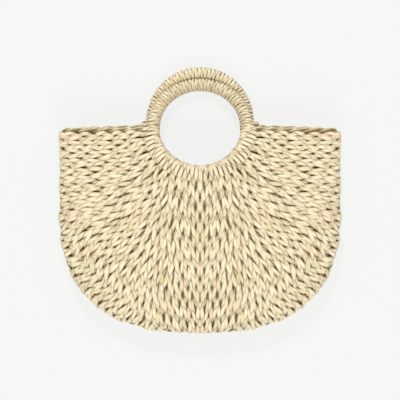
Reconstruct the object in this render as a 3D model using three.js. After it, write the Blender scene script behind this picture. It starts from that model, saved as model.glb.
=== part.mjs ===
// A half-moon straw basket bag with two round handles, lying on its back as it is put down.
// Units are millimetres. +X is right, +Y is towards the handles, +Z is up from the surface
// that the bag lies on, and the origin is on that surface under the middle of the bag.
import * as THREE from 'three';
import { mergeVertices } from 'three/addons/utils/BufferGeometryUtils.js';

// Body sizes
const BAG_WIDTH = 400;
const BODY_HEIGHT = 295; // lowest stitch to the top edge
const SIDE_LENGTH = 121; // top edge to where the sides start to curve in
const BOTTOM_FULLNESS = 2.5; // exponent of the bottom's superellipse
const CORNER_RADIUS = 16; // top corners, seen from the front
const WALL = 7; // stitched cord, two strands thick
const SEAM_HEIGHT = 28; // middle of the side seam above the surface
const BACK_ROUND = 30; // width of the bend between the flat back and the seam
const BELLY = 78; // the front's height, which the section table's crowns follow

// Handle sizes
const FRONT_HOOP = 66; // radius to the middle of the wound hoop
const BACK_HOOP = 69;
const GRIP_RADIUS = 8; // the hoop with its winding
const BINDING = 1.9; // how much the wraps that hold a panel stand proud of the hoop
const HANDLE_RISE = 84.5; // top of the back handle above the top edge
const HANDLE_STEP = 9.5; // the front handle's centre below the back one's
const FRONT_TILT = THREE.MathUtils.degToRad(22); // the front handle leans on the back one
const BACK_EDGE_RISE = 4; // the back panel's top edge at its handle, above the front's

const CLEARANCE = 0.3; // between pieces that touch on the real bag
const RIM_END = 0.9; // the share of a panel's edge, from handle to seam, that its rim row covers

// How finely the pieces are faceted
const PANEL_STEPS = 40; // from one side of the mouth round to the other
const PANEL_ROWS = 14; // from the handle out to the seam
const BACK_FLAT_SHARE = 0.5; // of those rows, on the back panel
const HOOP_STEPS = 36;
const ROUND_SIDES = 12;
const CORD_SIDES = 8;
const SEAM_STEPS = 56;
const RIM_STEPS = 8;

// Sections of the front panel, evenly spaced from the mouth round to the middle of the
// bottom. reach is a share of the way from handle to seam over which the panel keeps the
// handle's slope, and crown is a share of BELLY over which it stands up from the seam.
const FRONT_SECTIONS = [
  { reach: 0.52, crown: 0.27 },
  { reach: 0.38, crown: 0.44 },
  { reach: 0.24, crown: 0.52 },
  { reach: 0.2, crown: 0.56 },
];

const STRAW = { color: 0xe6d7ae, roughness: 0.78, metalness: 0 };

const totalLength = BODY_HEIGHT + HANDLE_RISE;
const bottomY = -totalLength / 2;
const topEdgeY = bottomY + BODY_HEIGHT;
const rimRadius = WALL / 2 - CLEARANCE; // stays clear of the surface underneath
const seamRadius = WALL / 2;
const panelEdgeY = topEdgeY - WALL; // the rim row sits on this edge
const curveStartY = topEdgeY - SIDE_LENGTH;
const boundRadius = GRIP_RADIUS + BINDING;
const seamGap = seamRadius + CLEARANCE;

// A handle hoop: its centre, its radius, and the two directions that its plane spans
function makeHoop(radius, centreY, centreZ, tilt) {
  return {
    radius,
    centre: new THREE.Vector3(0, centreY, centreZ),
    across: new THREE.Vector3(1, 0, 0),
    upward: new THREE.Vector3(0, Math.cos(tilt), -Math.sin(tilt)),
    normal: new THREE.Vector3(0, Math.sin(tilt), Math.cos(tilt)),
  };
}

// The way out from a hoop's centre at an angle in its plane
function hoopDirection(hoop, angle) {
  return new THREE.Vector3()
    .addScaledVector(hoop.across, Math.cos(angle))
    .addScaledVector(hoop.upward, Math.sin(angle));
}

function hoopSpot(hoop, angle, radius, lift) {
  return hoop.centre
    .clone()
    .addScaledVector(hoopDirection(hoop, angle), radius)
    .addScaledVector(hoop.normal, lift);
}

// The lowest height at which the tilted front hoop lies on the back hoop without overlap
function restingHeight(back, centreY) {
  const touching = 2 * GRIP_RADIUS + CLEARANCE;
  let height = 0;
  for (let angle = 0; angle <= Math.PI / 2; angle += Math.PI / 180) {
    const x = FRONT_HOOP * Math.cos(angle);
    const y = centreY + FRONT_HOOP * Math.sin(angle) * Math.cos(FRONT_TILT);
    const drop = FRONT_HOOP * Math.sin(angle) * Math.sin(FRONT_TILT);
    const aside = Math.abs(Math.hypot(x, y - back.centre.y) - back.radius);
    const rise = aside < touching ? Math.sqrt(touching ** 2 - aside ** 2) : 0;
    height = Math.max(height, back.centre.z + rise + drop);
  }
  return height;
}

const backCentreY = totalLength / 2 - BACK_HOOP - GRIP_RADIUS;
const frontCentreY = backCentreY - HANDLE_STEP;
const backHoop = makeHoop(BACK_HOOP, backCentreY, boundRadius, 0);
const frontHoop = makeHoop(
  FRONT_HOOP,
  frontCentreY,
  restingHeight(backHoop, frontCentreY),
  FRONT_TILT,
);

// Half the body's width at a height y, or -1 above and below the body
function halfWidth(y) {
  const half = BAG_WIDTH / 2;
  if (y > topEdgeY || y < bottomY) return -1;
  if (y < curveStartY) {
    const share = (curveStartY - y) / (curveStartY - bottomY);
    return half * (1 - share ** BOTTOM_FULLNESS) ** (1 / BOTTOM_FULLNESS);
  }
  const intoCorner = Math.max(0, y - (topEdgeY - CORNER_RADIUS));
  return half - CORNER_RADIUS + Math.sqrt(CORNER_RADIUS ** 2 - intoCorner ** 2);
}

// The outline's point for a share s of the way round: 0 is the left end of the mouth,
// 0.5 the middle of the bottom, 1 the right end. Found along a ray by halving.
function outlinePoint(s) {
  const angle = Math.PI * (1 + s);
  const dx = Math.cos(angle);
  const dy = Math.sin(angle);
  let near = 0;
  let far = BAG_WIDTH + BODY_HEIGHT;
  for (let step = 0; step < 48; step++) {
    const middle = (near + far) / 2;
    const inside = Math.abs(middle * dx) < halfWidth(panelEdgeY + middle * dy);
    if (inside) near = middle;
    else far = middle;
  }
  return new THREE.Vector3(near * dx, panelEdgeY + near * dy, 0);
}

// The angle on a hoop at which a panel whose edge is at edgeY begins, below the horizontal
function startAngle(hoop, edgeY) {
  const reach = (hoop.radius + boundRadius + CLEARANCE) * hoop.upward.y;
  return Math.asin((hoop.centre.y - edgeY) / reach);
}

const frontStart = startAngle(frontHoop, panelEdgeY);
const backStart = startAngle(backHoop, panelEdgeY + BACK_EDGE_RISE);

function hoopAngle(start, s) {
  return THREE.MathUtils.lerp(Math.PI + start, 2 * Math.PI - start, s);
}

const sectionCurve = new THREE.CatmullRomCurve3(
  FRONT_SECTIONS.map((row) => new THREE.Vector3(row.reach, row.crown, 0)),
);

// The front panel's outer face: s runs round the mouth and bottom, v from handle to seam
function frontFace(s, v) {
  const row = sectionCurve.getPoint(1 - Math.abs(2 * s - 1));
  const angle = hoopAngle(frontStart, s);
  const start = hoopSpot(
    frontHoop,
    angle,
    frontHoop.radius + boundRadius + CLEARANCE,
    WALL / 2,
  );
  const end = outlinePoint(s).setZ(SEAM_HEIGHT + seamGap);
  const span = Math.hypot(end.x - start.x, end.y - start.y);
  const keepSlope = start
    .clone()
    .addScaledVector(hoopDirection(frontHoop, angle), row.x * span);
  const overSeam = end.clone().setZ(end.z + row.y * BELLY);
  return new THREE.CubicBezierCurve3(start, keepSlope, overSeam, end).getPoint(v);
}

// The back panel's outer face: flat where it lies, then a quarter bend up to the seam
function backFace(s, v) {
  const start = hoopSpot(
    backHoop,
    hoopAngle(backStart, s),
    backHoop.radius + boundRadius + CLEARANCE,
    0,
  ).setZ(0);
  const end = outlinePoint(s);
  const outward = end.clone().sub(start).normalize();
  const bendStart = end.clone().addScaledVector(outward, -BACK_ROUND);
  if (v < BACK_FLAT_SHARE) return start.lerp(bendStart, v / BACK_FLAT_SHARE);
  const turn = ((v - BACK_FLAT_SHARE) / (1 - BACK_FLAT_SHARE)) * (Math.PI / 2);
  return bendStart
    .addScaledVector(outward, BACK_ROUND * Math.sin(turn))
    .setZ((SEAM_HEIGHT - seamGap) * (1 - Math.cos(turn)));
}

// A point of a face with its outward normal and the direction off the face's s = 0 edge.
// side is 1 for the front face and -1 for the back one.
function faceFrame(face, s, v, side) {
  const step = 1e-4;
  const round = face(Math.min(1, s + step), v).sub(face(Math.max(0, s - step), v));
  const out = face(s, Math.min(1, v + step)).sub(face(s, Math.max(0, v - step)));
  const normal = new THREE.Vector3().crossVectors(out, round).normalize();
  const edge = new THREE.Vector3().crossVectors(out, normal).normalize();
  return { point: face(s, v), normal: normal.multiplyScalar(side), edge };
}

// Turns triangles of points into a mesh geometry with shared vertices, facing outward
function solidFromTriangles(triangles) {
  let volume = 0;
  for (const [a, b, c] of triangles) {
    volume += a.dot(new THREE.Vector3().crossVectors(b, c));
  }
  const numbers = triangles.flatMap(([a, b, c]) =>
    (volume < 0 ? [a, c, b] : [a, b, c]).flatMap((p) => [p.x, p.y, p.z]),
  );
  const geometry = new THREE.BufferGeometry();
  geometry.setAttribute('position', new THREE.Float32BufferAttribute(numbers, 3));
  return mergeVertices(geometry, 1e-4);
}

// A wall between two grids of points. With wrap, each row closes on itself as a sleeve's.
function wallSolid(outer, inner, wrap) {
  const triangles = [];
  const quad = (a, b, c, d) => triangles.push([a, b, c], [a, c, d]);
  const last = outer[0].length - 1;
  const columns = wrap ? last + 1 : last;
  const next = (j) => (j + 1) % (last + 1);
  for (let i = 0; i + 1 < outer.length; i++) {
    for (let j = 0; j < columns; j++) {
      const k = next(j);
      quad(outer[i][j], outer[i + 1][j], outer[i + 1][k], outer[i][k]);
      quad(inner[i][j], inner[i][k], inner[i + 1][k], inner[i + 1][j]);
    }
    if (!wrap) {
      quad(outer[i][0], inner[i][0], inner[i + 1][0], outer[i + 1][0]);
      quad(outer[i][last], outer[i + 1][last], inner[i + 1][last], inner[i][last]);
    }
  }
  const end = outer.length - 1;
  for (let j = 0; j < columns; j++) {
    const k = next(j);
    quad(outer[0][j], outer[0][k], inner[0][k], inner[0][j]);
    quad(outer[end][j], inner[end][j], inner[end][k], outer[end][k]);
  }
  return solidFromTriangles(triangles);
}

function panel(face, side) {
  const outer = [];
  const inner = [];
  for (let i = 0; i <= PANEL_STEPS; i++) {
    const frames = [];
    for (let j = 0; j <= PANEL_ROWS; j++) {
      frames.push(faceFrame(face, i / PANEL_STEPS, j / PANEL_ROWS, side));
    }
    outer.push(frames.map((f) => f.point));
    inner.push(frames.map((f) => f.point.clone().addScaledVector(f.normal, -WALL)));
  }
  return wallSolid(outer, inner, false);
}

function circle(radius, sides) {
  const points = [];
  for (let i = 0; i < sides; i++) {
    const angle = (2 * Math.PI * i) / sides;
    points.push(new THREE.Vector2(radius * Math.cos(angle), radius * Math.sin(angle)));
  }
  return points;
}

function cordAlong(points, radius, steps) {
  return new THREE.ExtrudeGeometry(new THREE.Shape(circle(radius, CORD_SIDES)), {
    steps,
    extrudePath: new THREE.CatmullRomCurve3(points),
  });
}

// The row that finishes a panel's top edge, on the left half, from the handle outward
function leftRim(face, side) {
  const points = [];
  for (let i = 0; i <= RIM_STEPS; i++) {
    const f = faceFrame(face, 0, (RIM_END * i) / RIM_STEPS, side);
    points.push(
      f.point
        .addScaledVector(f.normal, -WALL / 2)
        .addScaledVector(f.edge, rimRadius + CLEARANCE),
    );
  }
  return points;
}

function mirrored(points) {
  return points.map((p) => new THREE.Vector3(-p.x, p.y, p.z));
}

// The cord that joins the panels, just inside the outline
function seamPath() {
  const points = [];
  for (let i = 0; i <= SEAM_STEPS; i++) {
    const f = faceFrame(frontFace, i / SEAM_STEPS, 1, 1);
    points.push(f.point.addScaledVector(f.normal, -seamRadius).setZ(SEAM_HEIGHT));
  }
  return points;
}

// A whole wound hoop, with a vertex of its section lowest so that it truly touches down
function hoopSolid(hoop) {
  const geometry = new THREE.TorusGeometry(
    hoop.radius,
    GRIP_RADIUS,
    ROUND_SIDES,
    HOOP_STEPS,
  );
  const turned = new THREE.Matrix4().makeBasis(hoop.across, hoop.upward, hoop.normal);
  return geometry.applyMatrix4(turned.setPosition(hoop.centre));
}

// The wraps round the lower half of a hoop that bind its panel to it, as one sleeve
function bindingSolid(hoop) {
  const rings = (radius) => {
    const rows = [];
    for (let i = 0; i <= HOOP_STEPS / 2; i++) {
      const angle = Math.PI * (1 + (2 * i) / HOOP_STEPS);
      rows.push(
        circle(radius, ROUND_SIDES).map((p) =>
          hoopSpot(hoop, angle, hoop.radius + p.x, p.y),
        ),
      );
    }
    return rows;
  };
  return wallSolid(rings(boundRadius), rings(GRIP_RADIUS + CLEARANCE), true);
}

const bag = new THREE.Group();

function addPiece(name, geometry) {
  const mesh = new THREE.Mesh(geometry, new THREE.MeshStandardMaterial(STRAW));
  mesh.name = name;
  bag.add(mesh);
}

addPiece('front_panel', panel(frontFace, 1));
addPiece('back_panel', panel(backFace, -1));
addPiece('side_seam', cordAlong(seamPath(), seamRadius, SEAM_STEPS));
addPiece('front_handle', hoopSolid(frontHoop));
addPiece('back_handle', hoopSolid(backHoop));
addPiece('front_binding', bindingSolid(frontHoop));
addPiece('back_binding', bindingSolid(backHoop));

const rims = { front: leftRim(frontFace, 1), back: leftRim(backFace, -1) };
for (const [place, points] of Object.entries(rims)) {
  addPiece(`${place}_rim_left`, cordAlong(points, rimRadius, RIM_STEPS));
  addPiece(`${place}_rim_right`, cordAlong(mirrored(points), rimRadius, RIM_STEPS));
}

export default bag;
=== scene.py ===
"""A half-moon straw basket bag with two wound ring handles, lying on its back.

Lengths are millimetres unless a name says otherwise, and become metres where meshes are made.
+X is right, +Y is towards the handles and +Z is up from the surface that the bag lies on.
"""

import math

import bpy
import numpy as np
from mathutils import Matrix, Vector


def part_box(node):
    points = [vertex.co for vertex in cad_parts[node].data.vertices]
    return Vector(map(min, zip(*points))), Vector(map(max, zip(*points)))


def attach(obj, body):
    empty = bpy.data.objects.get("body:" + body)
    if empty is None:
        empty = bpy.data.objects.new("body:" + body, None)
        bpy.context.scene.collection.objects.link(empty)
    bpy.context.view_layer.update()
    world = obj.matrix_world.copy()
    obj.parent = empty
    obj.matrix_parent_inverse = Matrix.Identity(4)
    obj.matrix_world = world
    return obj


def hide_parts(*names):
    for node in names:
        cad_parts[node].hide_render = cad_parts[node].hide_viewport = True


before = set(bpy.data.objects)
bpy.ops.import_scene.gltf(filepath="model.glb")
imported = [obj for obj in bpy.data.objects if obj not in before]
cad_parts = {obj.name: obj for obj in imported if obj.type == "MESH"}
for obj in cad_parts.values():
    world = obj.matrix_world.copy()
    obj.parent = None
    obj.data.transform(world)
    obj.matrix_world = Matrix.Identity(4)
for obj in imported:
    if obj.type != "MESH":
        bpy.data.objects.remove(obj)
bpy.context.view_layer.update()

MM = 0.001
rng = np.random.default_rng(20)

# Sizes of the bag, as the solids have them
BAG_WIDTH = 400.0
BODY_HEIGHT = 295.0
SIDE_LENGTH = 121.0  # how far down the sides run straight
BOTTOM_FULLNESS = 2.5  # the bottom's curve, where 2 would be an ellipse
CORNER_RADIUS = 16.0
WALL = 7.0
SEAM_HEIGHT = 28.0  # the seam's middle above the surface that the bag lies on
BACK_ROUND = 30.0  # how wide the back's bend up to the seam is
BELLY = 78.0
GRIP_RADIUS = 8.0
BINDING = 1.9  # how much thicker a handle is where the panel is bound to it
HANDLE_RISE = 84.5  # how far the handles stand out above the panels
FRONT_TILT = math.radians(22)
BACK_EDGE_RISE = 4.0
CLEARANCE = 0.3
BACK_FLAT_SHARE = 0.5  # how much of the way to the seam the back counts as flat
OUTLINE_HALVINGS = 40  # how often the search for the outline halves its step
FRONT_SECTIONS = [  # reach and crown, from the mouth round to the middle of the bottom
    (0.52, 0.27),
    (0.38, 0.44),
    (0.24, 0.52),
    (0.2, 0.56),
]

# The looped straw of the panels
ROW_HEIGHT = 22.0  # from one row of loops to the next, away from the handle
MIDDLE_ROW_HEIGHT = 29.0  # the same at the middle of the bottom
WALE = 13.2  # from one loop to the next along a row
MIDDLE_WALE = 11.8
MIDDLE_SHARE = 0.13  # how far round from the middle those hold
FIRST_ROW = 0.8  # where the first row lies, in rows
LOOP_REACH = 0.73  # half a loop's height, in rows
LOOP_LEAN = 1.45  # how far a loop's legs close towards the handle, in radians of its phase
LOOP_LIFT = 2.2  # how far the legs stand out and the loop's ends lie in
LOOP_TUCK = 0.5  # how much further in than the middle the outer end lies, and the inner one out
CORD_SHARE = 0.28  # half a cord's width, in wales
CORD_HEIGHT = 0.92  # a cord's height over its width
END_THICKNESS = 0.68  # how thick the cord is at a loop's two ends, as a share
LEG_SWELL = 0.34  # how much thicker it is on the legs
OUTER_SWELL = 0.1  # how much thicker at the outer end than in the middle
END_SHADE = 0.8  # how much painted shade darkens a loop's ends, under the next row's loops
END_SHADE_SLOPE = 1.7
END_SHADE_START = 0.9
EDGE_SHARE = 0.006  # how near the mouth's edge a row's first loop turns
SEAM_MARGIN = 0.5  # how far from the seam a row's loops turn back
SEAM_OVERRUN = 0.1  # how far past the seam a row may lie and still be made, in rows
ROUND_SAMPLES = 801  # spots measured along a row, from one end of the mouth to the other
DRIFT_PASSES = 3  # how often the wales' sideways drift is evened out

# Where new wales start, in shares of the way round, and how readily
LEVEL_TO = 0.17  # up to here hardly any start
LEVEL_FADE = 0.06
LEVEL_WEIGHT = 0.02
SPREAD_AT = 0.41  # most start here
SPREAD_WIDTH = 0.045
SPREAD_WEIGHT = 2.2
UPRIGHT_FROM = 0.455  # from here few start
UPRIGHT_WEIGHT = 0.4

# How uneven the loops are, for one standard deviation
UNEVEN_LIMIT = 1.8  # the most standard deviations that any of them has
HEAD_SHIFT = 0.06  # of a head along its row, in loops
LEG_SHIFT = 0.05  # of a leg along its row, in loops
REACH_SPREAD = 0.09  # of a loop's height, as a share
ROW_SHIFT = 0.06  # of a loop across its row, in rows
HEAD_LIFT = 0.3  # of a head's height above the panel
LEG_LIFT = 0.35  # of a leg's height above the panel
HEAD_SWELL = 0.05  # of the cord's thickness at a head, as a share
LEG_UNEVEN = 0.07  # of the cord's thickness on a leg, as a share
TINT_SPREAD = 0.25  # of the colour from loop to loop

# How deep the cords lie under the solids' faces, and the closed wall behind them
FRONT_DEPTH = 2.9
BACK_DEPTH = 6.4
BACK_LIFT = 0.7 * LOOP_LIFT  # the back's loops are pressed flatter
FRONT_GROUND_DEPTH = 4.6
BACK_GROUND_DEPTH = 6.9
GROUND_THICKNESS = 1.0
GROUND_STEPS = (97, 41)  # its points round the mouth and from the handle out

# The wound handles and the wraps that bind the panels to them
HOOP_STRETCH = 1.02  # how much longer than wide the wound hoops are
GRIP_PITCH = 4.5
GRIP_PROUD = 1.2  # how far the winding stands out from the solid handle
GRIP_CORD = (0.5 * GRIP_PITCH, 1.9)  # half its width and half its height
GRIP_OVERLAP = math.radians(6)  # how far the winding runs in under the wraps
GRIP_HOLE_SHADE = 0.34  # how much painted shade browns the side towards the hole
GRIP_TURN_POINTS = 18
CORE_POINTS = 96
CORE_TINT = 0.2
WRAP_PITCH = 6.2
WRAP_PROUD = 2.6  # how far the wraps stand out from the solid binding
WRAP_CORD = (0.49 * WRAP_PITCH, 2.4)
WRAP_SINK = 1.2  # how far inside the binding's top the cord's middle lies, in half cords
WRAP_TURN_POINTS = 20
TURN_SHIFT = 0.07  # how unevenly the turns lie along the hoop, in turns
TURN_SWELL = 0.012  # how unevenly they stand out, as a share
TURN_WIDTH_SPREAD = 0.05
TURN_TINT_SPREAD = 0.22
TUCK_TURNS = 0.6  # over how many turns the winding's ends are tucked in
TUCK_SHARE = 0.7  # how far out the tucked end lies, as a share

# The seam's and the rims' two strands, and how many sides they and the wound cords have
CORD_SIDES = 10
SEAM_TWIST = 28.0  # length in which the strands turn once round each other
SEAM_SWING = 1.9  # how far each strand's middle is from the pair's
SEAM_CORD = 2.5  # half a strand's thickness
SEAM_PROUD = 0.4  # how much further out the pair lies than the solid seam
SEAM_STEP = 2.2  # from one point along the pair to the next
SEAM_SAMPLES = 600
SEAM_CENTRE_Y = -20.0  # where the strands' outward side is reckoned from
RIM_TWIST = 42.0
RIM_SWING = 1.8
RIM_CORD = 3.1
RIM_SINK = 1.4  # how much further in the pair lies than the solid rim
RIM_STEP = 1.6
RIM_SAMPLES = 200
RIM_TURN_FROM = 0.86  # share of the way to the seam at which the rim starts to turn down
RIM_TURN_LENGTH = 0.14
RIM_TURN_DEPTH = 1.1  # how far down it turns, in half walls
STRAND_TINT_RUN = 8  # how many points of a strand share a tint

total_length = BODY_HEIGHT + HANDLE_RISE
bottom_y = -total_length / 2
top_edge_y = bottom_y + BODY_HEIGHT
panel_edge_y = top_edge_y - WALL
curve_start_y = top_edge_y - SIDE_LENGTH
bound_radius = GRIP_RADIUS + BINDING
seam_radius = WALL / 2
seam_gap = seam_radius + CLEARANCE


def unit(vectors):
    return vectors / np.maximum(np.linalg.norm(vectors, axis=-1, keepdims=True), 1e-9)


class Hoop:
    """A handle's ring: its centre line and the directions of its plane."""

    def __init__(self, radius, centre, tilt, stretch=1.0):
        self.radius = radius
        self.centre = np.array(centre)
        self.tilt = tilt
        self.across = np.array([1.0, 0.0, 0.0])
        self.upward = np.array([0.0, math.cos(tilt), -math.sin(tilt)]) * stretch
        self.normal = np.array([0.0, math.sin(tilt), math.cos(tilt)])

    def direction(self, angle):
        angle = np.asarray(angle)[..., None]
        return np.cos(angle) * self.across + np.sin(angle) * self.upward

    def spot(self, angle, radius, lift):
        out = self.direction(angle)
        radius = np.asarray(radius)[..., None]
        lift = np.asarray(lift)[..., None]
        return self.centre + out * radius + self.normal * lift

    def stretched(self):
        """The same hoop, longer than wide, as the winding makes it."""
        return Hoop(self.radius, self.centre, self.tilt, HOOP_STRETCH)

    def start_angle(self, edge_y):
        reach = (self.radius + bound_radius + CLEARANCE) * self.upward[1]
        return math.asin((self.centre[1] - edge_y) / reach)


def hoop_from_node(node, tilt):
    """A hoop placed from the middle of its solid's box."""
    low, high = (np.array(corner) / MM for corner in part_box(node))
    middle = (low + high) / 2
    return Hoop((high[0] - low[0]) / 2 - GRIP_RADIUS, middle, tilt)


front_hoop = hoop_from_node("front_handle", FRONT_TILT)
back_hoop = hoop_from_node("back_handle", 0.0)


def half_width(y):
    """Half the body's width at each height, or -1 above and below the body."""
    half = BAG_WIDTH / 2
    share = np.clip((curve_start_y - y) / (curve_start_y - bottom_y), 0, 1)
    lower = half * (1 - share**BOTTOM_FULLNESS) ** (1 / BOTTOM_FULLNESS)
    into_corner = np.clip(y - (top_edge_y - CORNER_RADIUS), 0, CORNER_RADIUS)
    upper = half - CORNER_RADIUS + np.sqrt(CORNER_RADIUS**2 - into_corner**2)
    width = np.where(y < curve_start_y, lower, upper)
    return np.where((y > top_edge_y) | (y < bottom_y), -1.0, width)


def outline(s):
    """The body's outline for shares s of the way from the mouth's left end to its right end."""
    angle = math.pi * (1 + s)
    dx, dy = np.cos(angle), np.sin(angle)
    near, far = np.zeros_like(s), np.full_like(s, BAG_WIDTH + BODY_HEIGHT)
    for _ in range(OUTLINE_HALVINGS):
        middle = (near + far) / 2
        inside = np.abs(middle * dx) < half_width(panel_edge_y + middle * dy)
        near = np.where(inside, middle, near)
        far = np.where(inside, far, middle)
    return np.stack([near * dx, panel_edge_y + near * dy, 0 * near], axis=-1)


def section_shares(s):
    """The section table's reach and crown, eased between its evenly spaced rows."""
    rows = np.array(FRONT_SECTIONS)
    rows = np.vstack([2 * rows[0] - rows[1], rows, 2 * rows[-1] - rows[-2]])
    place = (1 - np.abs(2 * s - 1)) * (len(FRONT_SECTIONS) - 1)
    index = np.minimum(place.astype(int), len(FRONT_SECTIONS) - 2)
    t = (place - index)[..., None]
    a, b, c, d = (rows[index + k] for k in range(4))
    return 0.5 * (
        2 * b + (c - a) * t + (2 * a - 5 * b + 4 * c - d) * t**2
        + (3 * b - a - 3 * c + d) * t**3
    )


def front_face(s, v):
    """The front panel's outer face: s runs round the mouth and bottom, v handle to seam."""
    shares = section_shares(s)
    begin = front_hoop.start_angle(panel_edge_y)
    angle = math.pi + begin + (math.pi - 2 * begin) * s
    start = front_hoop.spot(angle, front_hoop.radius + bound_radius + CLEARANCE, WALL / 2 + 0 * s)
    end = outline(s)
    end[..., 2] = SEAM_HEIGHT + seam_gap
    span = np.hypot(*(end - start)[..., :2].T).T
    keep_slope = start + front_hoop.direction(angle) * (shares[..., 0] * span)[..., None]
    over_seam = end.copy()
    over_seam[..., 2] += shares[..., 1] * BELLY
    v = v[..., None]
    u = 1 - v
    return u**3 * start + 3 * u**2 * v * keep_slope + 3 * u * v**2 * over_seam + v**3 * end


def back_face(s, v):
    """The back panel's outer face: flat where it lies, then a quarter bend up to the seam."""
    begin = back_hoop.start_angle(panel_edge_y + BACK_EDGE_RISE)
    angle = math.pi + begin + (math.pi - 2 * begin) * s
    start = back_hoop.spot(angle, back_hoop.radius + bound_radius + CLEARANCE, 0 * s)
    start[..., 2] = 0
    end = outline(s)
    outward = unit(end - start)
    bend_start = end - outward * BACK_ROUND
    flat = start + (bend_start - start) * np.clip(v / BACK_FLAT_SHARE, 0, 1)[..., None]
    turn = np.clip((v - BACK_FLAT_SHARE) / (1 - BACK_FLAT_SHARE), 0, 1) * math.pi / 2
    bend = outward * (BACK_ROUND * np.sin(turn))[..., None]
    bend[..., 2] += (SEAM_HEIGHT - seam_gap) * (1 - np.cos(turn))
    return flat + bend


class Face:
    """A panel's outer face, by the share s round the mouth and the distance from the handle."""

    STEPS = 320
    ROWS = 160

    def __init__(self, surface, side):
        s = np.linspace(0, 1, self.STEPS + 1)
        v = np.linspace(0, 1, 2 * self.ROWS + 1)
        grid = surface(*np.meshgrid(s, v, indexing="ij"))
        steps = np.linalg.norm(np.diff(grid, axis=1), axis=-1)
        distance = np.concatenate([np.zeros((len(s), 1)), np.cumsum(steps, axis=1)], axis=1)
        self.length = distance[:, -1]
        w = np.linspace(0, 1, self.ROWS + 1)
        self.points = np.array([
            np.stack([np.interp(w * d[-1], d, p[:, k]) for k in range(3)], axis=-1)
            for d, p in zip(distance, grid)
        ])
        along_s = np.gradient(self.points, axis=0)
        along_w = np.gradient(self.points, axis=1)
        self.normals = unit(np.cross(along_w, along_s)) * side

    def reach(self, s):
        return np.interp(s, np.linspace(0, 1, self.STEPS + 1), self.length)

    def at(self, s, distance):
        """Points and outward normals, with distances past the seam held at it."""
        w = np.clip(distance / self.reach(s), 0, 1)
        x = np.clip(s, 0, 1) * self.STEPS
        y = w * self.ROWS
        i = np.minimum(x.astype(int), self.STEPS - 1)
        j = np.minimum(y.astype(int), self.ROWS - 1)
        fx, fy = (x - i)[..., None], (y - j)[..., None]

        def blend(a):
            low = a[i, j] * (1 - fy) + a[i, j + 1] * fy
            high = a[i + 1, j] * (1 - fy) + a[i + 1, j + 1] * fy
            return low * (1 - fx) + high * fx

        return blend(self.points), unit(blend(self.normals))


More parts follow.
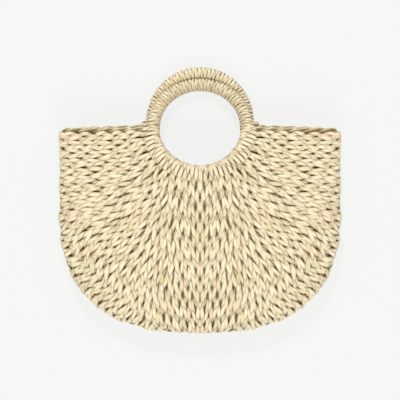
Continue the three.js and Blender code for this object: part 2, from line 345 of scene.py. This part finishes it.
class Strands:
    """Collects straw cords as tubes, and makes them one mesh."""

    PLY_DEPTH = 0.13  # how deep the grooves between a cord's two plies are, as a share
    PLY_TURN = 34.0  # length of cord in which the plies turn once
    TOP_CROWDING = 0.35  # how much closer together a cord's edges lie on its upper side
    FLANK_SHADE_FROM = 0.9  # the height, with 1 for the top, below which painted shade darkens a cord's sides
    FLANK_SHADE_POWER = 1.15

    def __init__(self, sides, mirrored=False):
        self.sides = sides
        self.mirrored = mirrored  # adds each cord again on the other side of the middle
        self.points, self.quads, self.uvs, self.caps = [], [], [], []
        self.tints, self.painted_shades = [], []
        self.count = 0

    def add(self, path, up, width, height, tint, closed=False, sunk=0.0):
        """A cord along path. up is its outward side; width and height are its half sizes.

        The last argument is painted shade, from 0 to 1: how deep each point lies among its
        neighbours, which darkens it.
        """
        n = len(path)
        if closed:
            tangent = np.roll(path, -1, axis=0) - np.roll(path, 1, axis=0)
        else:
            tangent = np.gradient(path, axis=0)
        tangent = unit(tangent)
        aside = unit(np.cross(tangent, up))
        rise = np.cross(aside, tangent)
        steps = np.linalg.norm(np.diff(path, axis=0), axis=1)
        run = np.concatenate([[0], np.cumsum(steps)])
        even = 2 * math.pi * np.arange(self.sides + 1) / self.sides
        around = (even + self.TOP_CROWDING * np.sin(even)) / (2 * math.pi)
        turn = 2 * math.pi * (around[:-1] - 0.25)
        ply = 1 + self.PLY_DEPTH * np.cos(
            2 * turn[None, :] - 4 * math.pi * run[:, None] / self.PLY_TURN
        )
        across = np.broadcast_to(width, n)[:, None] * np.cos(turn) * ply
        upward = np.broadcast_to(height, n)[:, None] * np.sin(turn) * ply
        ring = path[:, None] + aside[:, None] * across[..., None]
        ring = ring + rise[:, None] * upward[..., None]
        rows = n if closed else n - 1
        i, j = np.meshgrid(np.arange(rows), np.arange(self.sides), indexing="ij")
        next_i, next_j = (i + 1) % n, (j + 1) % self.sides
        quads = np.stack(
            [i * self.sides + j, i * self.sides + next_j,
             next_i * self.sides + next_j, next_i * self.sides + j], axis=-1).reshape(-1, 4)
        low, high = run[i], np.append(run, run[-1] + run[1])[i + 1]
        here, there = around[j], around[j + 1]
        uv = np.stack([
            np.stack([here, low], -1), np.stack([there, low], -1),
            np.stack([there, high], -1), np.stack([here, high], -1)], axis=2).reshape(-1, 4, 2)
        # painted shade on a cord's sides and on its sunk points
        flank_shade = np.clip((self.FLANK_SHADE_FROM - np.sin(turn)) / self.FLANK_SHADE_FROM, 0, 1)
        flank_shade = flank_shade**self.FLANK_SHADE_POWER
        depth = np.maximum(flank_shade[None, :], np.broadcast_to(sunk, n)[:, None]).ravel()
        tints = np.repeat(np.broadcast_to(tint, n), self.sides)
        first_end = np.arange(self.sides)
        caps = [first_end[::-1], first_end + (n - 1) * self.sides]
        for side in ((1, -1) if self.mirrored else (1,)):
            self.points.append(ring.reshape(-1, 3) * [side, 1, 1])
            self.quads.append(quads[:, ::side] + self.count)
            self.uvs.append(uv[:, ::side].reshape(-1, 2))
            self.painted_shades.append(depth)
            self.tints.append(tints)
            if not closed:
                self.caps += [cap[::side] + self.count for cap in caps]
            self.count += n * self.sides

    def piece(self, name, material):
        quads = np.concatenate(self.quads)
        points = np.concatenate(self.points) * MM
        uvs = np.concatenate(self.uvs) * [1, MM]
        caps = np.array(self.caps).reshape(-1, self.sides)
        mesh = bpy.data.meshes.new(name)
        mesh.vertices.add(len(points))
        mesh.vertices.foreach_set("co", points.ravel())
        corners = np.concatenate([quads.ravel(), caps.ravel()])
        sizes = np.concatenate([np.full(len(quads), 4), np.full(len(caps), self.sides)])
        mesh.loops.add(len(corners))
        mesh.loops.foreach_set("vertex_index", corners)
        mesh.polygons.add(len(sizes))
        mesh.polygons.foreach_set("loop_start", np.concatenate([[0], np.cumsum(sizes)[:-1]]))
        mesh.polygons.foreach_set("loop_total", sizes)
        mesh.polygons.foreach_set("use_smooth", np.ones(len(sizes), bool))
        layer = mesh.uv_layers.new(name="along")
        all_uvs = np.concatenate([uvs, np.zeros((caps.size, 2))])
        layer.data.foreach_set("uv", all_uvs.ravel())
        # the depth attribute carries the painted shade
        for key, values in (("tint", self.tints), ("depth", self.painted_shades)):
            attribute = mesh.attributes.new(key, "FLOAT", "POINT")
            attribute.data.foreach_set("value", np.concatenate(values))
        mesh.update(calc_edges=True)
        mesh.validate()
        return linked(name, mesh, material)


def linked(name, mesh, material):
    mesh.materials.append(material)
    piece = bpy.data.objects.new(name, mesh)
    bpy.context.collection.objects.link(piece)
    return piece


def sheet_piece(name, outer, inner, material):
    """A thin closed wall between two grids of points."""
    n, m = outer.shape[:2]
    points = np.concatenate([outer.reshape(-1, 3), inner.reshape(-1, 3)]) * MM
    faces = []
    shift = n * m
    for i in range(n - 1):
        for j in range(m - 1):
            a, b, c, d = i * m + j, (i + 1) * m + j, (i + 1) * m + j + 1, i * m + j + 1
            faces += [(a, b, c, d), (a + shift, d + shift, c + shift, b + shift)]
    for i in range(n - 1):
        a, b = i * m, (i + 1) * m
        faces += [(a, a + shift, b + shift, b)]
        a, b = a + m - 1, b + m - 1
        faces += [(a, b, b + shift, a + shift)]
    for j in range(m - 1):
        a, b = j, j + 1
        faces += [(a, b, b + shift, a + shift)]
        a, b = a + (n - 1) * m, b + (n - 1) * m
        faces += [(a, a + shift, b + shift, b)]
    mesh = bpy.data.meshes.new(name)
    mesh.from_pydata(points.tolist(), [], faces)
    mesh.shade_smooth()
    return linked(name, mesh, material)


# Materials
FINE_NOISE = (22, 60, 3)  # how close it is round the cord and along it, and its detail
COARSE_NOISE = (7, 30, 2)
PALE_STRANDS = (0.3, 0.7)  # from which value to which the colour takes over, here and below
WARM_TINTS = (0.72, 1.15)
DEEP_TINTS = (0.4, -0.5)
DEEP_FIBRES = (0.60, 0.25)
# painted shade in the grooves between a cord's plies
GROOVE_SHADE = (0.06, -0.03)
# painted shade from the depth attribute: cords' sides, sunk loop ends, the handles' side towards
# the hole
DEPTH_SHADE = (0.02, 1.0)
GROOVE_SLOPE = (0.0, 0.07)
STRAW_ROUGHNESS = (0.62, 0.86)
GROOVE_BUMP = (0.7, 0.8)  # strength, and depth in millimetres
STRAND_BUMP = (0.5, 0.6)
FIBRE_BUMP = (0.5, 0.25)
GROUND_BUMP = (0.6, 1.0)
GROUND_NOISE = 420
# dark browns that paint the shade seen between the loops
GAP_SHADE_COLOURS = ((0.35, (118, 99, 58)), (0.7, (178, 158, 110)))


def linear(step):
    """One channel of a colour, from 0 to 255 steps to the shader's linear value."""
    share = step / 255
    return share / 12.92 if share <= 0.04045 else ((share + 0.055) / 1.055) ** 2.4


def srgb(r, g, b):
    return linear(r), linear(g), linear(b), 1.0


def bumped(nodes, links, height, bump, under=None):
    """A bumped normal from a height, on top of another one where that is given."""
    node = nodes.new("ShaderNodeBump")
    node.inputs["Strength"].default_value = bump[0]
    node.inputs["Distance"].default_value = bump[1] * MM
    links.new(height, node.inputs["Height"])
    if under is not None:
        links.new(under, node.inputs["Normal"])
    return node.outputs["Normal"]


def straw_material(name, pale, mid, deep, warm, shadow):
    """Twisted paper straw: lengthwise fibres, a tint for each loop and a few warmer strands."""
    material = bpy.data.materials.new(name)
    material.use_nodes = True
    nodes, links = material.node_tree.nodes, material.node_tree.links
    shader = nodes["Principled BSDF"]
    shader.inputs["Specular IOR Level"].default_value = 0.35
    shader.inputs["Sheen Weight"].default_value = 0.12
    shader.inputs["Sheen Roughness"].default_value = 0.5

    along = nodes.new("ShaderNodeUVMap")
    along.uv_map = "along"

    def stretched_noise(around, lengthwise, detail):
        mapping = nodes.new("ShaderNodeMapping")
        mapping.inputs["Scale"].default_value = (around, lengthwise, 1)
        links.new(along.outputs["UV"], mapping.inputs["Vector"])
        noise = nodes.new("ShaderNodeTexNoise")
        noise.inputs["Scale"].default_value = 1.0
        noise.inputs["Detail"].default_value = detail
        links.new(mapping.outputs["Vector"], noise.inputs["Vector"])
        return noise.outputs["Fac"]

    fibres = stretched_noise(*FINE_NOISE)
    strands = stretched_noise(*COARSE_NOISE)

    def math_node(operation, first, second):
        node = nodes.new("ShaderNodeMath")
        node.operation = operation
        for socket, value in zip(node.inputs, (first, second)):
            if isinstance(value, float):
                socket.default_value = value
            else:
                links.new(value, socket)
        return node.outputs["Value"]

    place = nodes.new("ShaderNodeSeparateXYZ")
    links.new(along.outputs["UV"], place.inputs["Vector"])
    turned = math_node("MULTIPLY", place.outputs["Y"], -1 / (Strands.PLY_TURN * MM))
    from_groove = math_node("PINGPONG", math_node("ADD", place.outputs["X"], turned), 0.25)

    tint = nodes.new("ShaderNodeAttribute")
    tint.attribute_name = "tint"

    def mixed(factor, first, second):
        mix = nodes.new("ShaderNodeMix")
        mix.data_type = "RGBA"
        links.new(factor, mix.inputs["Factor"])
        for socket, value in (("A", first), ("B", second)):
            target = [i for i in mix.inputs if i.name == socket and i.type == "RGBA"][0]
            if isinstance(value, tuple):
                target.default_value = value
            else:
                links.new(value, target)
        return [o for o in mix.outputs if o.type == "RGBA"][0]

    def ramp(factor, low, high):
        node = nodes.new("ShaderNodeMapRange")
        node.inputs["From Min"].default_value = low
        node.inputs["From Max"].default_value = high
        links.new(factor, node.inputs["Value"])
        return node.outputs["Result"]

    depth = nodes.new("ShaderNodeAttribute")
    depth.attribute_name = "depth"
    body = mixed(ramp(strands, *PALE_STRANDS), mid, pale)
    body = mixed(ramp(tint.outputs["Fac"], *WARM_TINTS), body, warm)
    body = mixed(ramp(tint.outputs["Fac"], *DEEP_TINTS), body, deep)
    body = mixed(ramp(fibres, *DEEP_FIBRES), body, deep)
    # painted shade in the ply grooves
    body = mixed(ramp(from_groove, *GROOVE_SHADE), body, shadow)
    # painted shade from the depth attribute
    body = mixed(ramp(depth.outputs["Fac"], *DEPTH_SHADE), body, shadow)
    links.new(body, shader.inputs["Base Color"])

    rough = nodes.new("ShaderNodeMapRange")
    rough.inputs["To Min"].default_value = STRAW_ROUGHNESS[0]
    rough.inputs["To Max"].default_value = STRAW_ROUGHNESS[1]
    links.new(strands, rough.inputs["Value"])
    links.new(rough.outputs["Result"], shader.inputs["Roughness"])

    normal = bumped(nodes, links, ramp(from_groove, *GROOVE_SLOPE), GROOVE_BUMP)
    normal = bumped(nodes, links, strands, STRAND_BUMP, normal)
    normal = bumped(nodes, links, fibres, FIBRE_BUMP, normal)
    links.new(normal, shader.inputs["Normal"])
    return material


panel_straw = straw_material(
    "panel_straw",
    pale=srgb(254, 245, 216), mid=srgb(239, 226, 189), deep=srgb(208, 191, 146),
    warm=srgb(246, 218, 188), shadow=srgb(126, 103, 60))
handle_straw = straw_material(
    "handle_straw",
    pale=srgb(255, 249, 224), mid=srgb(246, 233, 196), deep=srgb(214, 195, 146),
    warm=srgb(246, 220, 186), shadow=srgb(142, 110, 60))
binding_straw = straw_material(
    "binding_straw",
    pale=srgb(255, 246, 219), mid=srgb(241, 228, 192), deep=srgb(206, 189, 144),
    warm=srgb(246, 218, 186), shadow=srgb(128, 104, 58))


def gap_shade_material():
    """Painted shade between the loops: dark straw browns in place of the shaded strands beneath
    them.
    """
    material = bpy.data.materials.new("gap_shade_straw")
    material.use_nodes = True
    nodes, links = material.node_tree.nodes, material.node_tree.links
    shader = nodes["Principled BSDF"]
    shader.inputs["Roughness"].default_value = 0.9
    where = nodes.new("ShaderNodeTexCoord")
    noise = nodes.new("ShaderNodeTexNoise")
    noise.inputs["Scale"].default_value = GROUND_NOISE
    noise.inputs["Detail"].default_value = 3
    links.new(where.outputs["Object"], noise.inputs["Vector"])
    colours = nodes.new("ShaderNodeValToRGB")
    for element, (position, colour) in zip(colours.color_ramp.elements, GAP_SHADE_COLOURS):
        element.position = position
        element.color = srgb(*colour)
    links.new(noise.outputs["Fac"], colours.inputs["Fac"])
    links.new(colours.outputs["Color"], shader.inputs["Base Color"])
    normal = bumped(nodes, links, noise.outputs["Fac"], GROUND_BUMP)
    links.new(normal, shader.inputs["Normal"])
    return material


gap_shade_straw = gap_shade_material()


# The looped panels
def middle_blend(s, side, middle):
    """A size that is one value round the sides and another at the middle of the bottom."""
    return side + (middle - side) * np.exp(-(((s - 0.5) / MIDDLE_SHARE) ** 2))


def row_height(s):
    return middle_blend(s, ROW_HEIGHT, MIDDLE_ROW_HEIGHT)


def new_wale_weight(s):
    """How readily a new wale starts at each share s of the left half."""
    slanting = np.clip((s - LEVEL_TO) / LEVEL_FADE, LEVEL_WEIGHT, 1)
    slanting = slanting * np.where(s > UPRIGHT_FROM, UPRIGHT_WEIGHT, 1)
    return slanting + SPREAD_WEIGHT * np.exp(-(((s - SPREAD_AT) / SPREAD_WIDTH) ** 2))


def wale_rows(face):
    """For each row of loops, counted in rows from the handle, the shares s of its loops and how
    much s changes along each loop's wale from one row to the next.

    A wale runs out from the handle through all rows. New ones start mostly beside the middle,
    so that the wales stay upright in the middle and level at the sides, and slant between. The
    two halves mirror each other, with one loop on the middle.
    """
    rows = []
    places = None
    s_fine = np.linspace(0, 1, ROUND_SAMPLES)
    row = FIRST_ROW
    while (row * row_height(s_fine) < face.reach(s_fine)).any():
        points, _ = face.at(s_fine, row * row_height(s_fine))
        steps = np.linalg.norm(np.diff(points, axis=0), axis=1)
        steps = steps / middle_blend((s_fine[1:] + s_fine[:-1]) / 2, WALE, MIDDLE_WALE)
        run = np.concatenate([[0], np.cumsum(steps)])
        pairs = int(round((run[-1] - 1) / 2))
        if places is None:
            at = (np.arange(2 * pairs + 1) + 0.5) * run[-1] / (2 * pairs + 1)
            places = np.interp(at, run, s_fine)
        else:
            half = places[:len(places) // 2]
            middle = (half[1:] + half[:-1]) / 2
            wanted = new_wale_weight(middle)
            share = np.cumsum(wanted) / wanted.sum()
            more = max(pairs - len(half), 0)
            chosen = (np.arange(more) + rng.uniform()) / more
            chosen = np.unique(np.searchsorted(share, chosen))
            half = np.insert(half, chosen + 1, middle[chosen])
            places = np.concatenate([half, [0.5], 1 - half[::-1]])
            at = (np.arange(len(places)) + 0.5) * run[-1] / len(places)
        settled = np.interp(at, run, s_fine)
        drift = settled - places
        for _ in range(DRIFT_PASSES):
            edged = np.concatenate([drift[:1], drift, drift[-1:]])
            drift = (edged[:-2] + 2 * drift + edged[2:]) / 4
        rows.append((row, settled, drift))
        places = settled
        row += 1
    return rows


def uneven(count, kinds):
    """Random unevenness in standard deviations, a row for each loop or leg."""
    return np.clip(rng.normal(0, 1, (count, kinds)), -UNEVEN_LIMIT, UNEVEN_LIMIT)


def loop_row(strands, face, row, places, drift, depth, lift, steps):
    """The left half of a row of loops, as a cord that runs to the head of the middle one.

    depth is how far the cord lies under the face, and steps is a loop's number of points.
    """
    count = len(places) // 2
    edged = np.concatenate([[-places[0]], places])
    drifts = np.concatenate([drift[:1], drift])
    loops = uneven(count + 1, 6)
    legs = uneven(2 * count + 1, 3)
    loops[-1, 5], legs[-1, 0] = 0.0, 0.0  # the two halves meet in the middle
    phase = np.arange(count * steps + steps // 2 + 1) / steps  # 0 halfway before the first loop
    t = 2 * math.pi * phase - math.pi
    own = loops[np.clip(phase.astype(int), 0, count)]
    leg = legs[np.clip((2 * phase).astype(int), 0, 2 * count)]
    more_reach, more_row, head_lift, head_swell, own_tint, head_shift = own.T
    leg_shift, leg_lift, leg_swell = leg.T
    blend = np.abs(np.cos(t / 2))  # 1 at the loop's head, 0 between loops
    on_leg = np.abs(np.sin(t))
    swing = phase + LOOP_LEAN * np.sin(2 * t) / (2 * math.pi) + 0.5
    swing = swing + HEAD_SHIFT * head_shift * blend + LEG_SHIFT * leg_shift * on_leg
    swing = np.clip(swing, 0, count + 1)
    low = np.clip(swing.astype(int), 0, count)
    part = swing - low
    s = edged[low] * (1 - part) + edged[low + 1] * part
    lean = drifts[low] * (1 - part) + drifts[low + 1] * part
    height = row_height(s)
    out = LOOP_REACH * (1 + REACH_SPREAD * more_reach * blend) * np.cos(t)
    out = out + ROW_SHIFT * more_row * blend
    s = np.clip(s + lean * out, EDGE_SHARE, 1 - EDGE_SHARE)
    out = (row + out) * height
    limit = face.reach(s)
    raised = lift * -np.cos(2 * t) - LOOP_TUCK * np.cos(t)
    raised = raised + HEAD_LIFT * head_lift * blend + LEG_LIFT * leg_lift * on_leg
    points, normals = face.at(s, np.minimum(out, limit - SEAM_MARGIN))
    path = points + normals * (raised - depth)[:, None]
    thick = CORD_SHARE * middle_blend(s, WALE, MIDDLE_WALE)
    thick = thick * (END_THICKNESS + LEG_SWELL * np.sin(t) ** 2) * (1 + OUTER_SWELL * np.cos(t))
    thick = thick * (1 + HEAD_SWELL * head_swell * blend + LEG_UNEVEN * leg_swell * on_leg)
    # painted shade on a loop's two ends, under the next row's loops
    sunk = END_SHADE * np.clip(np.abs(np.cos(t)) * END_SHADE_SLOPE - END_SHADE_START, 0, 1)
    tint = np.clip(0.5 + TINT_SPREAD * own_tint, 0, 1)
    there = row * height - SEAM_OVERRUN * height < limit
    start = 0
    while start < len(there):
        if not there[start]:
            start += 1
            continue
        end = start
        while end < len(there) and there[end]:
            end += 1
        if end - start > steps // 2:
            part = slice(start, end)
            strands.add(
                path[part], normals[part], thick[part], thick[part] * CORD_HEIGHT, tint[part],
                sunk=sunk[part])
        start = end


def looped_panel(name, node, face, depth, lift, steps, sides):
    strands = Strands(sides, mirrored=True)
    for row, places, drift in wale_rows(face):
        loop_row(strands, face, row, places, drift, depth, lift, steps)
    piece = strands.piece(name, panel_straw)
    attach(piece, "root")
    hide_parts(node)


def ground_sheet(name, face, depth):
    """The wall behind the loops, closed so that no light comes through the stitches, and coloured
    dark as painted shade.
    """
    s, w = np.meshgrid(*(np.linspace(0, 1, count) for count in GROUND_STEPS), indexing="ij")
    points, normals = face.at(s, w * face.reach(s))
    outer = points - normals * depth
    inner = points - normals * (depth + GROUND_THICKNESS)
    piece = sheet_piece(name, outer, inner, gap_shade_straw)
    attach(piece, "root")


front = Face(front_face, 1)
back = Face(back_face, -1)
looped_panel("front_loops", "front_panel", front, FRONT_DEPTH, LOOP_LIFT, steps=22, sides=12)
looped_panel("back_loops", "back_panel", back, BACK_DEPTH, BACK_LIFT, steps=20, sides=10)
ground_sheet("front_ground", front, FRONT_GROUND_DEPTH)
ground_sheet("back_ground", back, BACK_GROUND_DEPTH)


# The wound handles and their bindings
def coil(strands, hoop, first, last, pitch, radial, lift, cord, per_turn, offset=0.0, hole_side_shade=0.0):
    """A cord wound round a hoop between two angles.

    radial and lift are its section's half sizes across and along the hoop's axis, cord is half
    the cord's width and height, per_turn is a turn's number of points, offset is how far out the
    winding's middle lies, and the last is the painted shade on the side towards the hole.
    """
    turns = int(round(abs(last - first) * hoop.radius / pitch))
    phase = np.arange(turns * per_turn + 1) / per_turn
    wobble = rng.normal(0, 1, (turns + 2, 3))
    index = phase.astype(int)
    part = (phase - index)[:, None]
    own = wobble[index] * (1 - part) + wobble[index + 1] * part
    angle = first + (last - first) * (phase + TURN_SHIFT * own[:, 0]) / turns
    around = 2 * math.pi * phase + math.pi
    ease = np.clip(np.minimum(phase, turns - phase) / TUCK_TURNS, 0, 1)
    grow = (1 + TURN_SWELL * own[:, 1]) * (TUCK_SHARE + (1 - TUCK_SHARE) * ease)
    radius = hoop.radius + offset + radial * grow * np.cos(around)
    path = hoop.spot(angle, radius, lift * grow * np.sin(around))
    up = hoop.direction(angle) * (np.cos(around) / radial)[:, None]
    up = unit(up + hoop.normal * (np.sin(around) / lift)[:, None])
    spread = radius / hoop.radius
    width = cord[0] * spread * (1 + TURN_WIDTH_SPREAD * own[:, 2])
    tint = np.clip(0.5 + TURN_TINT_SPREAD * own[:, 2], 0, 1)
    # painted shade on the side of each turn that faces the hole
    hole_shade = hole_side_shade * np.clip(0.5 - np.cos(around), 0, 1)
    strands.add(path, up, width, cord[1], tint, sunk=hole_shade)


def hoop_core(strands, hoop, radius):
    """The bundle of straw inside the winding."""
    angle = 2 * math.pi * np.arange(CORE_POINTS) / CORE_POINTS
    path = hoop.spot(angle, hoop.radius + 0 * angle, 0 * angle)
    up = np.broadcast_to(hoop.normal, path.shape)
    strands.add(path, up, radius, radius, CORE_TINT, closed=True)


def wound_handle(name, node, hoop):
    """A handle's ring, wound where it stands free of the panel."""
    rest = GRIP_RADIUS + GRIP_PROUD - GRIP_CORD[1]
    hoop = hoop.stretched()
    strands = Strands(CORD_SIDES)
    hoop_core(strands, hoop, rest)
    coil(
        strands, hoop, -GRIP_OVERLAP, math.pi + GRIP_OVERLAP, GRIP_PITCH, rest, rest, GRIP_CORD,
        GRIP_TURN_POINTS, hole_side_shade=GRIP_HOLE_SHADE)
    piece = strands.piece(name, handle_straw)
    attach(piece, "root")
    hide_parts(node)


def bound_edge(name, node, hoop):
    """The wide wraps round a hoop's lower half that bind the panel to it."""
    strands = Strands(CORD_SIDES)
    radial = bound_radius + WRAP_PROUD
    lift = bound_radius - WRAP_SINK * WRAP_CORD[1]
    coil(
        strands, hoop.stretched(), math.pi, 2 * math.pi, WRAP_PITCH, radial - WRAP_CORD[1], lift,
        WRAP_CORD, WRAP_TURN_POINTS, offset=radial - GRIP_RADIUS)
    piece = strands.piece(name, binding_straw)
    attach(piece, "root")
    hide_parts(node)


wound_handle("front_ring", "front_handle", front_hoop)
wound_handle("back_ring", "back_handle", back_hoop)
bound_edge("front_wraps", "front_binding", front_hoop)
bound_edge("back_wraps", "back_binding", back_hoop)


# The seam and the rims
def plied(strands, path, up, twist, swing, cord):
    """Two strands laid round each other along a path."""
    steps = np.linalg.norm(np.diff(path, axis=0), axis=1)
    run = np.concatenate([[0], np.cumsum(steps)])
    tangent = unit(np.gradient(path, axis=0))
    aside = unit(np.cross(tangent, up))
    rise = np.cross(aside, tangent)
    for k in range(2):
        turn = 2 * math.pi * run / twist + math.pi * k
        out = aside * np.cos(turn)[:, None] + rise * np.sin(turn)[:, None]
        wobble = rng.normal(0, 1, len(path) // STRAND_TINT_RUN + 1)
        wobble = np.repeat(wobble, STRAND_TINT_RUN)[:len(path)]
        tint = np.clip(0.5 + TINT_SPREAD * wobble, 0, 1)
        strands.add(path + out * swing, up, cord, cord, tint)


def resampled(path, step):
    """The same path with its points evenly apart."""
    steps = np.linalg.norm(np.diff(path, axis=0), axis=1)
    run = np.concatenate([[0], np.cumsum(steps)])
    at = np.linspace(0, run[-1], int(run[-1] / step) + 1)
    return np.stack([np.interp(at, run, path[:, k]) for k in range(3)], axis=-1)


def seam():
    """The cord that joins the panels round the sides and the bottom."""
    s = np.linspace(0, 1, SEAM_SAMPLES)
    points, normals = front.at(s, front.reach(s))
    path = points - normals * (seam_radius - SEAM_PROUD)
    path[:, 2] = SEAM_HEIGHT
    path = resampled(path, SEAM_STEP)
    up = unit(path * [1, 1, 0] - [0, SEAM_CENTRE_Y, 0])
    strands = Strands(CORD_SIDES)
    plied(strands, path, up, SEAM_TWIST, SEAM_SWING, SEAM_CORD)
    piece = strands.piece("seam_cord", panel_straw)
    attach(piece, "root")
    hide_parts("side_seam")


def rim(name, node, face, mirror):
    """The last row of stitches along a panel's top edge, from the handle to the seam."""
    w = np.linspace(0, 1, RIM_SAMPLES)
    points, normals = face.at(0 * w, w * face.reach(0 * w))
    edge = np.array([0.0, 1.0, 0.0])
    turn_down = np.clip((w - RIM_TURN_FROM) / RIM_TURN_LENGTH, 0, 1) ** 2
    above = WALL / 2 * (1 - RIM_TURN_DEPTH * turn_down)
    path = points - normals * WALL / 2 + edge * (above - RIM_SINK)[:, None]
    lowest = RIM_SWING + RIM_CORD * (1 + Strands.PLY_DEPTH)
    path[:, 2] = np.maximum(path[:, 2], lowest)
    path = resampled(path, RIM_STEP)
    if mirror:
        path = path * [-1, 1, 1]
    up = np.broadcast_to(edge, path.shape)
    strands = Strands(CORD_SIDES)
    plied(strands, path, up, RIM_TWIST, RIM_SWING, RIM_CORD)
    piece = strands.piece(name, panel_straw)
    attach(piece, "root")
    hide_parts(node)


seam()
for place, face in (("front", front), ("back", back)):
    for hand, mirror in (("left", False), ("right", True)):
        rim(f"{place}_edge_{hand}", f"{place}_rim_{hand}", face, mirror)


# Floor, light and camera
FLOOR_SIZE = 12.0  # in metres, as the lights' places and sizes are
FLOOR_GREY = 0.1
FLOOR_GLOW = 0.8
WORLD_LIGHT = 0.6
LIGHT_COLOUR = (1.0, 0.985, 0.96)
PHOTO_WIDTH = 569.4  # how wide the photo's frame is at the bag
CAMERA_HEIGHT = 2600.0
VIEW_PLANE = 45.0  # the height at which the frame has that width
SENSOR_WIDTH = 36.0
VIEW_LIMIT = 20.0  # in metres


def floor():
    bpy.ops.mesh.primitive_plane_add(size=FLOOR_SIZE, location=(0, 0, 0))
    plane = bpy.context.object
    plane.name = "floor"
    material = bpy.data.materials.new("pale_floor")
    material.use_nodes = True
    shader = material.node_tree.nodes["Principled BSDF"]
    shader.inputs["Base Color"].default_value = (FLOOR_GREY, FLOOR_GREY, FLOOR_GREY, 1)
    shader.inputs["Roughness"].default_value = 0.9
    shader.inputs["Specular IOR Level"].default_value = 0.1
    shader.inputs["Emission Color"].default_value = (1, 1, 1, 1)
    shader.inputs["Emission Strength"].default_value = FLOOR_GLOW
    plane.data.materials.append(material)


def area_light(name, place, size, watts):
    """A round lamp that shines on the bag."""
    data = bpy.data.lights.new(name, "AREA")
    data.shape = "DISK"
    data.size = size
    data.energy = watts
    data.color = LIGHT_COLOUR
    light = bpy.data.objects.new(name, data)
    bpy.context.collection.objects.link(light)
    light.location = place
    light.rotation_euler = (-Vector(place)).to_track_quat("-Z", "Y").to_euler()


def lighting():
    world = bpy.data.worlds.new("studio")
    bpy.context.scene.world = world
    world.use_nodes = True
    background = world.node_tree.nodes["Background"]
    background.inputs["Color"].default_value = (1, 1, 1, 1)
    background.inputs["Strength"].default_value = WORLD_LIGHT
    area_light("key", place=(-0.3, 2.5, 3.1), size=0.6, watts=69)
    area_light("fill", place=(0.2, -2.8, 2.7), size=1.4, watts=59)


def camera():
    data = bpy.data.cameras.new("camera")
    data.sensor_width = SENSOR_WIDTH
    data.lens = SENSOR_WIDTH * (CAMERA_HEIGHT - VIEW_PLANE) / PHOTO_WIDTH
    data.clip_end = VIEW_LIMIT
    eye = bpy.data.objects.new("camera", data)
    bpy.context.collection.objects.link(eye)
    eye.location = (0, 0, CAMERA_HEIGHT * MM)
    bpy.context.scene.camera = eye


floor()
lighting()
camera()
bpy.context.scene.view_settings.view_transform = "Standard"
